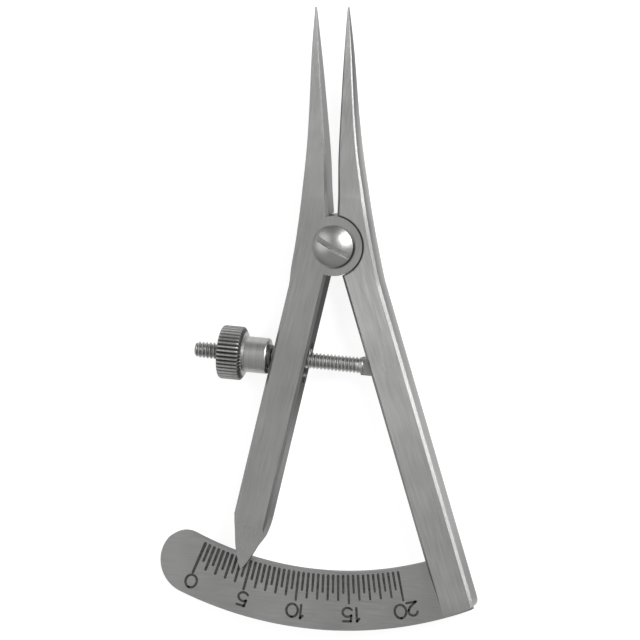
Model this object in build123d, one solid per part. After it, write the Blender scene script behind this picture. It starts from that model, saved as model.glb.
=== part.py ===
from build123d import *
import math
import os

# A hand-held surgical caliper: two flat legs cross at a half-lap pivot. Each carries a fine point above
# the pivot. Below it one leg carries an arc-shaped millimetre scale and the other ends in a pointer.
# A thumb nut on a threaded rod, hinged in the scale leg, pushes the pointer leg and sets the opening.
# The pivot axis is Z, the legs' backs lie on z = 0 and the points lie towards +Y.

# legs
LEG_T = 4.2
MID_Z = LEG_T / 2
ARM_W = 4.9
TIP_Y = 33.6
TIP_CLEAR = 0.015
SCALE_ARM_ANGLE = 19.5
POINTER_ARM_ANGLE = 18.4
REST_OPENING = 7.6
ARM_EDGE = 0.38
# stations of a leg's upper part from the point down: inner x, outer x, y, thickness, edge break
STATIONS = [
    (TIP_CLEAR, 0.24, TIP_Y, 0.36, 0.07),
    (TIP_CLEAR, 0.42, 32.0, 0.95, 0.08),
    (0.02, 0.76, 29.6, 1.62, 0.12),
    (0.02, 1.16, 26.4, 2.35, 0.15),
    (0.04, 1.78, 20.8, 3.2, 0.18),
    (0.06, 2.52, 15.2, 3.8, 0.22),
    (0.17, 3.37, 10.4, 4.1, 0.28),
    (0.31, 4.06, 7.0, LEG_T, ARM_EDGE),
]
# outer wall from there to the straight arm, and where the inner wall enters the joint's disc
SHOULDER = [(4.61, 4.39), (5.20, 1.80), (5.85, -0.78), (6.51, -3.35)]
SHOULDER_SLOPE = (0.2, -1.0)
CROTCH = (0.38, 1.3)
ARM_START = 7.2

# half-lap joint and its screw
BOSS_R = 4.25
LAP_GAP_R = 0.12
LAP_GAP_Z = 0.04
SCREW_R = 1.4
SCREW_RUN = 0.05
SCREW_SEAT = 0.01
SCREW_HEAD_R = 2.92
SCREW_RIM_H = 0.25
SCREW_DOME_H = 1.3
SCREW_HEAD_GAP = 0.04
DRIVER_SLOT_W = 0.76
DRIVER_SLOT_DEPTH = 0.75
DRIVER_SLOT_ANGLE = -26.0

# return spring, an open ring of wire in a pocket of the front disc
SPRING_WIRE_R = 0.25
SPRING_R = 2.25
SPRING_BEND_R = 0.45
SPRING_HALF_ARC = 150.0
SPRING_LIFT = 0.42
SPRING_Z = MID_Z + SPRING_LIFT
SPRING_TANG = 0.45
SPRING_POCKET_R = 2.85
SPRING_POCKET_DEPTH = 0.85
SPRING_POCKET_Z = MID_Z + SPRING_POCKET_DEPTH
TANG_HOLE_R = 0.34

# scale plate
PLATE_IN_R = 46.5
PLATE_W = 8.35
PLATE_OUT_R = PLATE_IN_R + PLATE_W
PLATE_T = 1.6
PLATE_END_ANGLE = -27.2
PLATE_END_IN_FILLET = 0.38 * PLATE_W
PLATE_END_OUT_FILLET = 0.58 * PLATE_W
PLATE_SEAT_W = 3.9
PLATE_SEAT_GAP = 0.02
LEG_END_SHORT = 0.3
LEG_END_R = PLATE_OUT_R - LEG_END_SHORT
LEG_END_ROUND = 1.3
LEG_END_RELIEF = 0.45
LEG_END_RELIEF_START = PLATE_IN_R + 1.0

# pointer, which reaches a little past the plate's inner edge; its outline is given as distances along the
# arm from the tip and across it from the inner wall
POINTER_REACH = 1.8
POINTER_TIP_ALONG = PLATE_IN_R + POINTER_REACH
POINTER_TIP_ACROSS = 2.4
POINTER_TIP_W = 0.12
POINTER_INNER = [(-8.1, 0.0), (-5.8, 0.26), (-3.9, 0.76), (-2.1, 1.36)]
POINTER_OUTER = [(-1.4, 3.2), (-3.7, 3.92), (-5.6, 4.3), (-7.2, 4.72), (-7.7, ARM_W)]
POINTER_UNDER_FROM = (-5.1, -3.7)
POINTER_TOP_FROM = -6.7
POINTER_CLEAR = 0.4
POINTER_UNDER_Z = PLATE_T + POINTER_CLEAR
POINTER_TIP_T = 0.35
POINTER_TIP_Z = POINTER_UNDER_Z + POINTER_TIP_T

# adjusting rod and its hinge
ROD_R = 1.15
ROD_ANGLE = 178.86
HINGE_ALONG = 18.8
HINGE_ACROSS = 2.45
PIN_R = 0.6
PIN_SEAT = 0.01
PIN_RUN = 0.05
EYE_R = 1.7
EYE_T = 1.6
EYE_SIDE_GAP = 0.05
EYE_RIM_GAP = 0.15
EYE_NECK_HALF_W = 1.25
HINGE_MOUTH_FLARE = 2.0
ROD_BASE_R = 1.25
ROD_BASE_START = 3.65
ROD_BASE_END = 3.95
ROD_THREAD_START = 4.15
ROD_END = 28.1
ROD_END_EDGE = 0.35
SLOT_ALONG = 17.36
SLOT_LENGTH = 5.8
SLOT_H = 2.7

# nut and its thrust washer, which stand this far off the pointer leg's outer wall
WASHER_REST_GAP = 0.02
WASHER_T = 0.4
WASHER_R = 1.65
NUT_RUN = 0.06
COLLAR_R = 2.52
COLLAR_L = 3.4
COLLAR_EDGE = 0.25
HEAD_R = 3.77
HEAD_L = 3.0
HEAD_BEVEL_L = 0.5
HEAD_BEVEL_R = 3.05
HEAD_EDGE = 0.3
KNURL_TEETH = 40
KNURL_DEPTH = 0.26
NUT_FACE_GAP = 0.02


def arm_frame(angle):
    """Unit vectors along an arm and across it, for the leg on the +X side."""
    a = math.radians(angle)
    return (math.sin(a), -math.cos(a)), (math.cos(a), math.sin(a))


def arm_point(angle, along, across):
    d, n = arm_frame(angle)
    return d[0] * along + n[0] * across, d[1] * along + n[1] * across


def section(inner, outer, thickness, edge):
    """Octagonal wire across a leg between two points of its plan, with broken corners."""
    width = math.dist(inner, outer)
    ux, uy = (outer[0] - inner[0]) / width, (outer[1] - inner[1]) / width
    low, high = MID_Z - thickness / 2, MID_Z + thickness / 2
    ring = [
        (edge, low), (width - edge, low), (width, low + edge), (width, high - edge),
        (width - edge, high), (edge, high), (0, high - edge), (0, low + edge),
    ]
    points = [(inner[0] + ux * t, inner[1] + uy * t, z) for t, z in ring]
    return Wire.make_polygon([Vector(*p) for p in points], close=True)


def shoulder_and_arm(angle, length):
    """Lower part of a leg with its long edges broken, from the last station to the arm's end."""
    d, _ = arm_frame(angle)
    xi, xo, y = STATIONS[-1][:3]
    start = arm_point(angle, ARM_START, ARM_W)
    end_out, end_in = arm_point(angle, length, ARM_W), arm_point(angle, length, 0)
    shoulder = Spline([(xo, y)] + SHOULDER + [start], tangents=[SHOULDER_SLOPE, d])
    rest = Polyline(start, end_out, end_in, (0, 0), CROTCH, (xi, y), (xo, y))
    body = extrude(make_face([shoulder, rest]), LEG_T)
    long_edges = [e for e in body.edges() if e.length > y - CROTCH[1] - 0.1]
    return chamfer(long_edges, ARM_EDGE)


def leg_blank(angle, length):
    """A leg on the +X side: a tapering upper arm run into a straight lower arm."""
    upper = Solid.make_loft([section((xi, y), (xo, y), t, c) for xi, xo, y, t, c in STATIONS])
    return upper + shoulder_and_arm(angle, length)


def disc(r, low, high):
    return Pos(0, 0, low) * Cylinder(r, high - low, align=(Align.CENTER, Align.CENTER, Align.MIN))


def rod_place(distance):
    """Location on the rod's axis with local +Z running away from the hinge."""
    px, py = arm_point(SCALE_ARM_ANGLE, HINGE_ALONG, HINGE_ACROSS)
    a = math.radians(ROD_ANGLE)
    x, y = px + math.cos(a) * distance, py + math.sin(a) * distance
    return Location(Plane(origin=(x, y, MID_Z), x_dir=(0, 0, 1), z_dir=(math.cos(a), math.sin(a), 0)))


def rod_piece(r, start, end):
    return rod_place(start) * Cylinder(r, end - start, align=(Align.CENTER, Align.CENTER, Align.MIN))


def at_rest(x, y):
    """Plan vector of the +X leg carried to the pointer leg: mirrored, then turned by the rest opening."""
    a = math.radians(REST_OPENING)
    return -x * math.cos(a) - y * math.sin(a), -x * math.sin(a) + y * math.cos(a)


def washer_at():
    """Distance along the rod at which the washer's rim stands just off the pointer leg's outer wall."""
    wx, wy = at_rest(*arm_point(POINTER_ARM_ANGLE, SLOT_ALONG, ARM_W))
    nx, ny = at_rest(*arm_frame(POINTER_ARM_ANGLE)[1])
    px, py = arm_point(SCALE_ARM_ANGLE, HINGE_ALONG, HINGE_ACROSS)
    a = math.radians(ROD_ANGLE)
    toward = nx * math.cos(a) + ny * math.sin(a)
    sideways = abs(ny * math.cos(a) - nx * math.sin(a))
    return ((wx - px) * nx + (wy - py) * ny + WASHER_R * sideways) / toward + WASHER_REST_GAP


def tang_place(side):
    """Plan position and unit tangent of the spring's end; side is +1 or -1."""
    a = math.radians(90 + side * SPRING_HALF_ARC)
    x, y = SPRING_R * math.cos(a), SPRING_R * math.sin(a)
    tx, ty = -side * math.sin(a), side * math.cos(a)
    return (x, y), (tx, ty)


def tang_hole(side):
    (x, y), (tx, ty) = tang_place(side)
    hx, hy = x + tx * SPRING_BEND_R, y + ty * SPRING_BEND_R
    reach = SPRING_BEND_R + SPRING_TANG + 2 * LAP_GAP_Z
    low = SPRING_Z if side > 0 else SPRING_Z - reach
    return Pos(hx, hy, 0) * disc(TANG_HOLE_R, low, low + reach)


def scale_leg():
    blank = leg_blank(SCALE_ARM_ANGLE, PLATE_OUT_R + 1)
    body = blank - disc(BOSS_R + LAP_GAP_R, MID_Z - LAP_GAP_Z / 2, LEG_T + 1)
    body = body + disc(BOSS_R, 0, MID_Z - LAP_GAP_Z / 2)
    body = body & extrude(leg_end_outline(), LEG_T)
    body = body - disc(SCREW_R + SCREW_SEAT, -1, LEG_T)
    body = body - tang_hole(-1)
    body = body - plate_seat()
    body = body - hinge_slot()
    hx, hy = arm_point(SCALE_ARM_ANGLE, HINGE_ALONG, HINGE_ACROSS)
    return body - Pos(hx, hy, 0) * disc(PIN_R + PIN_SEAT, -1, LEG_T + 1)


def leg_end_outline():
    """Plan region that ends the scale leg just short of the plate's outer arc, with one rounded corner."""
    def at(along, across):
        return arm_point(SCALE_ARM_ANGLE, along, across)

    end_out = math.sqrt(LEG_END_R ** 2 - ARM_W ** 2)
    end_in = math.sqrt(LEG_END_R ** 2 - LEG_END_RELIEF ** 2)
    middle = at(math.sqrt(LEG_END_R ** 2 - (ARM_W / 2) ** 2), ARM_W / 2)
    end = ThreePointArc(at(end_in, LEG_END_RELIEF), middle, at(end_out, ARM_W))
    wall = Line(at(end_out, ARM_W), at(ARM_START, ARM_W))
    around = Polyline(at(ARM_START, ARM_W), (ARM_W * 4, 0), (ARM_W * 2, TIP_Y + 1), (-ARM_W * 2, TIP_Y + 1),
                      (-ARM_W * 2, -BOSS_R - 1), at(ARM_START, -0.5), at(LEG_END_RELIEF_START, -0.5),
                      at(LEG_END_RELIEF_START, 0), at(end_in, LEG_END_RELIEF))
    region = make_face([end, wall, around])
    corner = at(end_out, ARM_W)
    sharp = region.vertices().sort_by_distance((corner[0], corner[1], 0))[0]
    return fillet(sharp, LEG_END_ROUND)


def plate_region(grow, seat_w):
    """Plan region of the arc plate; grow widens it for the seat cut in the leg."""
    left = math.radians(PLATE_END_ANGLE)
    d, n = arm_frame(SCALE_ARM_ANGLE)
    r_in, r_out = PLATE_IN_R - grow, PLATE_OUT_R + grow
    far_in = arm_point(SCALE_ARM_ANGLE, math.sqrt(r_in ** 2 - seat_w ** 2), seat_w)
    far_out = arm_point(SCALE_ARM_ANGLE, math.sqrt(r_out ** 2 - seat_w ** 2), seat_w)
    near_in = (r_in * math.sin(left), -r_in * math.cos(left))
    near_out = (r_out * math.sin(left), -r_out * math.cos(left))
    inner = ThreePointArc(near_in, (0, -r_in), far_in)
    outer = ThreePointArc(near_out, (0, -r_out), far_out)
    return make_face([inner, outer, Line(far_in, far_out), Line(near_in, near_out)])


def plate_seat():
    return extrude(plate_region(PLATE_SEAT_GAP, PLATE_SEAT_W + PLATE_SEAT_GAP), PLATE_T + PLATE_SEAT_GAP)


def scale_plate():
    region = plate_region(0, PLATE_SEAT_W)
    corners = region.vertices().sort_by(Axis.X)[:2].sort_by(Axis.Y)
    region = fillet(corners[0], PLATE_END_OUT_FILLET)
    corner = region.vertices().sort_by_distance((
        PLATE_IN_R * math.sin(math.radians(PLATE_END_ANGLE)),
        -PLATE_IN_R * math.cos(math.radians(PLATE_END_ANGLE)), 0))[0]
    region = fillet(corner, PLATE_END_IN_FILLET)
    return extrude(region, PLATE_T)


def hinge_slot():
    """Flat slot in the scale leg, open on its inner wall, that takes the rod's eye."""
    centre = arm_point(SCALE_ARM_ANGLE, HINGE_ALONG, HINGE_ACROSS)
    r = EYE_R + EYE_RIM_GAP
    half = EYE_T / 2 + EYE_SIDE_GAP
    side = arm_frame(SCALE_ARM_ANGLE)[0]
    away = arm_point(SCALE_ARM_ANGLE, HINGE_ALONG, HINGE_ACROSS - ARM_W)
    wide = r + HINGE_MOUTH_FLARE
    mouth = Polyline((centre[0] + side[0] * r, centre[1] + side[1] * r),
                     (away[0] + side[0] * r, away[1] + side[1] * r),
                     (away[0] - side[0] * wide, away[1] - side[1] * wide),
                     (centre[0] - side[0] * r, centre[1] - side[1] * r), close=True)
    plan = make_face(mouth) + Pos(*centre) * Circle(r)
    return Pos(0, 0, MID_Z - half) * extrude(plan, 2 * half)


def pointer_end(angle):
    """Solid that trims an arm of the +X leg to a pointer and clears the plate below it."""
    def at(from_tip, across):
        return arm_point(angle, POINTER_TIP_ALONG + from_tip, across)

    tip_in, tip_out = at(0, POINTER_TIP_ACROSS), at(0, POINTER_TIP_ACROSS + POINTER_TIP_W)
    inner = Spline([at(*p) for p in POINTER_INNER] + [tip_in])
    outer = Spline([tip_out] + [at(*p) for p in POINTER_OUTER])
    outer_start, inner_start = POINTER_OUTER[-1][0], POINTER_INNER[0][0]
    around = Polyline(at(outer_start, ARM_W), at(outer_start, ARM_W + 3), (ARM_W * 5, 0),
                      (ARM_W * 2, TIP_Y + 1), (-ARM_W * 2, TIP_Y + 1), (-ARM_W * 2, -BOSS_R - 1),
                      arm_point(angle, ARM_START, -1), at(inner_start, -1), at(inner_start, 0))
    plan = extrude(make_face([inner, Line(tip_in, tip_out), outer, around]), LEG_T)
    d, n = arm_frame(angle)
    side = Plane(origin=(*at(0, 0), 0), x_dir=(d[0], d[1], 0), z_dir=(n[0], n[1], 0))
    near, far = POINTER_UNDER_FROM
    under = side * Polyline((near, 0), (far, -POINTER_UNDER_Z), (1, -POINTER_UNDER_Z), (1, 1), (near, 1),
                            close=True)
    over = side * Polyline((POINTER_TOP_FROM, -LEG_T), (0, -POINTER_TIP_Z), (1, -POINTER_TIP_Z),
                           (1, -LEG_T - 1), (POINTER_TOP_FROM, -LEG_T - 1), close=True)
    cut = extrude(make_face(under), ARM_W * 2, both=True) + extrude(make_face(over), ARM_W * 2, both=True)
    return plan - cut


def rod_slot(angle):
    """Rounded slot through the pointer leg from wall to wall, long along the arm."""
    d, n = arm_frame(angle)
    x, y = arm_point(angle, SLOT_ALONG, -1)
    side = Plane(origin=(x, y, MID_Z), x_dir=(d[0], d[1], 0), z_dir=(n[0], n[1], 0))
    return extrude(side * SlotOverall(SLOT_LENGTH, SLOT_H), ARM_W + 2)


def pointer_leg():
    blank = leg_blank(POINTER_ARM_ANGLE, POINTER_TIP_ALONG + 1)
    body = blank - disc(BOSS_R + LAP_GAP_R, -1, MID_Z + LAP_GAP_Z / 2)
    body = body + disc(BOSS_R, MID_Z + LAP_GAP_Z / 2, LEG_T)
    body = body & pointer_end(POINTER_ARM_ANGLE)
    body = body - rod_slot(POINTER_ARM_ANGLE)
    body = body - disc(SCREW_R + SCREW_RUN, 0, LEG_T + 1)
    body = body - disc(SPRING_POCKET_R, 0, SPRING_POCKET_Z)
    body = Rot(0, 0, REST_OPENING) * mirror(body, about=Plane.YZ)
    return body - tang_hole(1)


def pivot_screw():
    base = LEG_T + SCREW_HEAD_GAP
    ball_r = (SCREW_HEAD_R ** 2 + (SCREW_DOME_H - SCREW_RIM_H) ** 2) / (2 * (SCREW_DOME_H - SCREW_RIM_H))
    top = base + SCREW_DOME_H
    dome = disc(SCREW_HEAD_R, base, top) & Pos(0, 0, top - ball_r) * Sphere(ball_r)
    groove = Rot(0, 0, DRIVER_SLOT_ANGLE) * Pos(0, 0, top) * Box(
        2 * SCREW_HEAD_R + 1, DRIVER_SLOT_W, 2 * DRIVER_SLOT_DEPTH)
    return disc(SCREW_R, 0, base) + dome - groove


def return_spring():
    """Open ring of wire; one end is bent up into the pointer leg, the other down into the scale leg."""
    (ax, ay), (atx, aty) = tang_place(1)
    (bx, by), (btx, bty) = tang_place(-1)
    b, t = SPRING_BEND_R, SPRING_TANG
    corner = b * (1 - math.sqrt(0.5))
    a_out, b_out = (ax + atx * b, ay + aty * b), (bx + btx * b, by + bty * b)
    a_mid = (ax + atx * (b - corner), ay + aty * (b - corner), SPRING_Z + corner)
    b_mid = (bx + btx * (b - corner), by + bty * (b - corner), SPRING_Z - corner)
    path = Wire([
        Edge.make_line((*a_out, SPRING_Z + b + t), (*a_out, SPRING_Z + b)),
        Edge.make_three_point_arc((*a_out, SPRING_Z + b), a_mid, (ax, ay, SPRING_Z)),
        Edge.make_three_point_arc((ax, ay, SPRING_Z), (0, SPRING_R, SPRING_Z), (bx, by, SPRING_Z)),
        Edge.make_three_point_arc((bx, by, SPRING_Z), b_mid, (*b_out, SPRING_Z - b)),
        Edge.make_line((*b_out, SPRING_Z - b), (*b_out, SPRING_Z - b - t)),
    ])
    gap = math.dist(a_out, b_out) - 2 * SPRING_WIRE_R
    print("return spring least self-gap", round(gap, 3))
    start = Plane(origin=(*a_out, SPRING_Z + b + t), z_dir=(0, 0, -1))
    return sweep(start * Circle(SPRING_WIRE_R), path=path)


def hinge_pin():
    x, y = arm_point(SCALE_ARM_ANGLE, HINGE_ALONG, HINGE_ACROSS)
    return Pos(x, y, 0) * disc(PIN_R, 0, LEG_T)


def adjusting_rod():
    px, py = arm_point(SCALE_ARM_ANGLE, HINGE_ALONG, HINGE_ACROSS)
    a = math.radians(ROD_ANGLE)
    ux, uy = math.cos(a), math.sin(a)
    w, reach = EYE_NECK_HALF_W, ROD_BASE_END
    neck = Polyline((px - uy * w, py + ux * w), (px + ux * reach - uy * w, py + uy * reach + ux * w),
                    (px + ux * reach + uy * w, py + uy * reach - ux * w), (px + uy * w, py - ux * w),
                    close=True)
    plan = make_face(neck) + Pos(px, py) * Circle(EYE_R)
    eye = Pos(0, 0, MID_Z - EYE_T / 2) * extrude(plan, EYE_T)
    eye = eye - Pos(px, py, 0) * disc(PIN_R + PIN_RUN, 0, LEG_T)
    flare = rod_place(ROD_BASE_END) * Cone(
        ROD_BASE_R, ROD_R, ROD_THREAD_START - ROD_BASE_END, align=(Align.CENTER, Align.CENTER, Align.MIN))
    tip = rod_place(ROD_END - ROD_END_EDGE) * Cone(
        ROD_R, ROD_R - ROD_END_EDGE, ROD_END_EDGE, align=(Align.CENTER, Align.CENTER, Align.MIN))
    shank = rod_piece(ROD_R, ROD_THREAD_START, ROD_END - ROD_END_EDGE)
    return eye + rod_piece(ROD_BASE_R, ROD_BASE_START, ROD_BASE_END) + flare + shank + tip


def thrust_washer():
    start = washer_at()
    end = start + WASHER_T
    return rod_piece(WASHER_R, start, end) - rod_piece(ROD_R + NUT_RUN, start - 1, end + 1)


def knurl_outline():
    """Plan of the knurled rim: one straight tooth per step round the circle."""
    points = []
    for i in range(KNURL_TEETH):
        for part, r in ((0.0, HEAD_R), (0.3, HEAD_R), (0.65, HEAD_R - KNURL_DEPTH)):
            a = 2 * math.pi * (i + part) / KNURL_TEETH
            points.append((r * math.cos(a), r * math.sin(a)))
    return make_face(Polyline(*points, close=True))


def thumb_nut():
    """Collar, bevelled shoulder and knurled head turned in one piece, on the rod's axis."""
    low = 0
    shoulder = COLLAR_L
    face = COLLAR_L + HEAD_BEVEL_L
    end = face + HEAD_L
    profile = Polyline((0, low), (COLLAR_R - COLLAR_EDGE, low), (COLLAR_R, low + COLLAR_EDGE),
                       (COLLAR_R, shoulder), (HEAD_BEVEL_R, shoulder), (HEAD_R + 0.01, face),
                       (HEAD_R + 0.01, end - HEAD_EDGE), (HEAD_R - HEAD_EDGE, end), (0, end), close=True)
    turned = revolve(Plane.XZ * make_face(profile), Axis.Z)
    teeth = Pos(0, 0, shoulder) * extrude(knurl_outline(), end - shoulder)
    keep = teeth + disc(COLLAR_R + 0.01, low, end)
    nut = (turned & keep) - disc(ROD_R + NUT_RUN, low - 1, end + 1)
    return rod_place(washer_at() + WASHER_T + NUT_FACE_GAP) * nut


os.makedirs("parts", exist_ok=True)
NODES = {
    "scale_leg": scale_leg,
    "scale_plate": scale_plate,
    "pointer_leg": pointer_leg,
    "pivot_screw": pivot_screw,
    "return_spring": return_spring,
    "rod_hinge_pin": hinge_pin,
    "adjusting_rod": adjusting_rod,
    "thrust_washer": thrust_washer,
    "thumb_nut": thumb_nut,
}
for name, make in NODES.items():
    export_step(make(), f"parts/{name}.step")
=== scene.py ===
# %% [markdown]
# A small surgical caliper in satin stainless steel, dressed for a picture.
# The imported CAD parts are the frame: they give every size and every joint. Blender adds what a camera sees
# and a structural solid leaves out, which is the thread, the knurl, the engraved scale and the finishes.
# Loading the frame first means that each new piece has something real to sit on.

# %% Load the frame
import bmesh
import bpy
import numpy as np
from mathutils import Matrix, Vector


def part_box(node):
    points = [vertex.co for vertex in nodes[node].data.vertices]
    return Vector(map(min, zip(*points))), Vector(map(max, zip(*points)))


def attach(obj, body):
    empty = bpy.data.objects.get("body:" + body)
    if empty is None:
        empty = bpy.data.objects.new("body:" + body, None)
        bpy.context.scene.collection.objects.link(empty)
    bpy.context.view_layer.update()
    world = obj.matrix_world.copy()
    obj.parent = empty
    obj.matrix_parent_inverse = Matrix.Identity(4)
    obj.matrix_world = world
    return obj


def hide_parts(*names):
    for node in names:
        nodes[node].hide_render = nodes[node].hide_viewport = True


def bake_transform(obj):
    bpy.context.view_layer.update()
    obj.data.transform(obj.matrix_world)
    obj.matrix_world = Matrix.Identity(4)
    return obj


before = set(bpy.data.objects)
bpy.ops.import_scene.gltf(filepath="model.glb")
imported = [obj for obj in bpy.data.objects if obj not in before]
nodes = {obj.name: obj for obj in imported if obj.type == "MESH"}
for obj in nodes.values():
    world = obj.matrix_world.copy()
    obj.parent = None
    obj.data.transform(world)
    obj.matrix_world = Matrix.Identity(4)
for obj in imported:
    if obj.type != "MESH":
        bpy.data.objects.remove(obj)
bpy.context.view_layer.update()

MM = 0.001
scene = bpy.context.scene
print("frame:", sorted(nodes))

# %% [markdown]
# Everything below repeats a few sizes of the structure, in millimetres, because a scene can only see the
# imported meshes. The pivot is the origin, +Z is the face with the graduations and +Y the way the points look.
# Angles are in degrees: those of the arms from -Y, and that of the rod from +X.

# %% Sizes shared with the structure
ARM_ANGLE = 19.5
POINTER_ANGLE_CLOSED, POINTER_TURN_AT_REST = 18.4, 7.6
pin_low, pin_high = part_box("rod_hinge_pin")
LEG_T = (pin_high.z - pin_low.z) / MM
MID_Z = LEG_T / 2
PLATE_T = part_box("scale_plate")[1].z / MM
HINGE = np.array([pin_low.x + pin_high.x, pin_low.y + pin_high.y]) / 2 / MM
ROD_ANGLE = np.radians(178.86)
ROD_DIR = np.array([np.cos(ROD_ANGLE), np.sin(ROD_ANGLE), 0.0])
ROD_START = (HINGE[0], HINGE[1], MID_Z)
print("legs", round(LEG_T, 3), "mm thick, plate", round(PLATE_T, 3), "mm, rod's hinge at", HINGE.round(3))

# %% [markdown]
# New pieces are surfaces on a grid: a function gives a point for each pair of parameters, numpy works out
# the whole array at once, and one helper turns the array into a mesh. Rows or columns may close on
# themselves, as on a tube. Poles are collapsed rings, which merging by distance closes.

# %% A mesh from a grid of points
SAME_POINT = 1e-7      # metres: points nearer than this are one


def grid_faces(nu, nv, wrap_u, wrap_v):
    """Quads between neighbouring grid points; a wrapped direction joins its last line to its first."""
    u = np.arange(nu if wrap_u else nu - 1)
    v = np.arange(nv if wrap_v else nv - 1)
    uu, vv = np.meshgrid(u, v, indexing="ij")
    un, vn = (uu + 1) % nu, (vv + 1) % nv
    quads = np.stack([uu * nv + vv, un * nv + vv, un * nv + vn, uu * nv + vn], axis=-1)
    return quads.reshape(-1, 4)


def link_new(name, data):
    """An object for a mesh, a camera or a lamp, at the origin and in the scene."""
    obj = bpy.data.objects.new(name, data)
    scene.collection.objects.link(obj)
    return obj


def mesh_object(name, points, faces):
    """An object at the origin from points in mm; doubles are merged and the faces turned outwards."""
    mesh = bpy.data.meshes.new(name)
    mesh.from_pydata((points.reshape(-1, 3) * MM).tolist(), [], faces.tolist())
    bm = bmesh.new()
    bm.from_mesh(mesh)
    bmesh.ops.remove_doubles(bm, verts=bm.verts, dist=SAME_POINT)
    bmesh.ops.dissolve_degenerate(bm, edges=bm.edges, dist=SAME_POINT)
    bmesh.ops.recalc_face_normals(bm, faces=bm.faces)
    bm.to_mesh(mesh)
    bm.free()
    return link_new(name, mesh)


def shade(obj, angle):
    """Smooth shading, with edges sharper than the angle kept crisp."""
    obj.data.shade_smooth()
    obj.data.set_sharp_from_angle(angle=np.radians(angle))


def on_rod(distance, radius, theta):
    """Points in mm: hinge + distance * rod + radius * (cos theta * up + sin theta * across)."""
    up = np.array([0.0, 0.0, 1.0])
    across = np.cross(ROD_DIR, up)
    out = (radius * np.cos(theta))[..., None] * up + (radius * np.sin(theta))[..., None] * across
    return np.array(ROD_START) + distance[..., None] * ROD_DIR + out


print("a tube of 3 rings of 8 points has", len(grid_faces(3, 8, False, True)), "faces")

# %% [markdown]
# Colours are written as sRGB hex values, as a picker shows them, and turned to the linear values that the
# shader nodes expect. One function adds a node, its settings and its links, which keeps materials readable.
# A Mix node has sockets for each kind of data: 4, 5 and output 1 mix vectors, 6, 7 and output 2 colours.

# %% Colour and node helpers
def linear(hex_colour):
    """sRGB hex text to a linear RGBA tuple."""
    c = np.array([int(hex_colour[i:i + 2], 16) for i in (0, 2, 4)]) / 255
    lin = np.where(c <= 0.04045, c / 12.92, ((c + 0.055) / 1.055) ** 2.4)
    return (*lin.tolist(), 1.0)


def add(tree, kind, inputs=None, **settings):
    """Adds a node. Inputs maps a socket name or number to a value or to another node's output socket."""
    node = tree.nodes.new(kind)
    for key, value in settings.items():
        setattr(node, key, value)
    for key, value in (inputs or {}).items():
        if isinstance(value, bpy.types.NodeSocket):
            tree.links.new(value, node.inputs[key])
        else:
            node.inputs[key].default_value = value
    return node


def new_material(name):
    """An empty node material and its tree."""
    material = bpy.data.materials.new(name)
    material.use_nodes = True
    material.node_tree.nodes.clear()
    return material, material.node_tree


def dress(obj, material):
    """Gives an object one material in place of what it had."""
    obj.data.materials.clear()
    obj.data.materials.append(material)


print("the grey 9A9A99 is", round(linear("9A9A99")[0], 3), "in linear light")

# %% [markdown]
# The legs are stainless steel, ground flat and then satin-brushed along their length on a fine belt. That
# finish is a mirror broken up by fine parallel scratches: highlights spread across the grain and stay short
# along it. The pattern is a noise stretched along the arm. Real scratches are some hundredths of a
# millimetre apart, too fine to show, so here they are drawn about 0.15 mm apart. Each leg bends at the
# pivot, so the grain turns there too, and one turned pattern fades into the next.

# %% The grain of a brushed surface
GRAIN_ACROSS_MM, GRAIN_ALONG_MM = 0.16, 5.0


def brushed(tree, vector, across_mm, along_mm):
    """Noise stretched along local Y: one cell is across_mm wide and along_mm long."""
    cells = (1 / (across_mm * MM), 1 / (along_mm * MM), 1 / (across_mm * MM))
    scaled = add(tree, "ShaderNodeVectorMath", {0: vector, 1: cells}, operation="MULTIPLY").outputs[0]
    return add(tree, "ShaderNodeTexNoise", {"Vector": scaled, "Scale": 1.0, "Detail": 3.0,
                                            "Roughness": 0.6}).outputs["Fac"]


def along_turns(tree, coords, turns, make):
    """make(angle) for each of turns, (angle from Y, lowest y, highest y) in degrees and mm, mixed along Y."""
    y = add(tree, "ShaderNodeSeparateXYZ", {0: coords}).outputs["Y"]
    result = make(turns[0][0])
    for angle, start, end in turns[1:]:
        part = add(tree, "ShaderNodeMapRange", {"Value": y, "From Min": start * MM, "From Max": end * MM},
                   interpolation_type="SMOOTHSTEP").outputs[0]
        result = add(tree, "ShaderNodeMix", {"Factor": part, 4: result, 5: make(angle)},
                     data_type="VECTOR").outputs[1]
    return result


print("grain of the legs: a cell is", GRAIN_ACROSS_MM, "mm wide and", GRAIN_ALONG_MM, "mm long")

# %% [markdown]
# One brushed bar doesn't look the same all round. Its walls lie in shade, its narrow bevels catch bright
# lines, and the seam where two parts turn on each other is dark. Here this light and shade is painted into
# the colour. Painted maps could carry it, or a split into more pieces. Here each kind of surface is told by
# its own normal in object space, and a list of tones along the leg makes it lighter or darker: painted shade
# and painted highlight. That stays on the steel from any side and at any pose, and it needs no UV map.

# %% Painted light and shade that follow the place
def share(tree, *tests):
    """1 where all tests hold, 0 where one fails. A test (value, none, full) is 0 at none and 1 at full."""
    parts = [add(tree, "ShaderNodeMapRange", {"Value": value, "From Min": none, "From Max": full}).outputs[0]
             for value, none, full in tests]
    result = parts[0]
    for part in parts[1:]:
        result = add(tree, "ShaderNodeMath", {0: result, 1: part}, operation="MULTIPLY").outputs[0]
    return result


def toned(tree, colour, part, tone):
    """Colour scaled by tone where part is 1, and left as it is where part is 0."""
    level = add(tree, "ShaderNodeMapRange", {"Value": part, "To Min": 1.0, "To Max": tone}).outputs[0]
    return add(tree, "ShaderNodeVectorMath", {0: colour, "Scale": level}, operation="SCALE").outputs[0]


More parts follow.
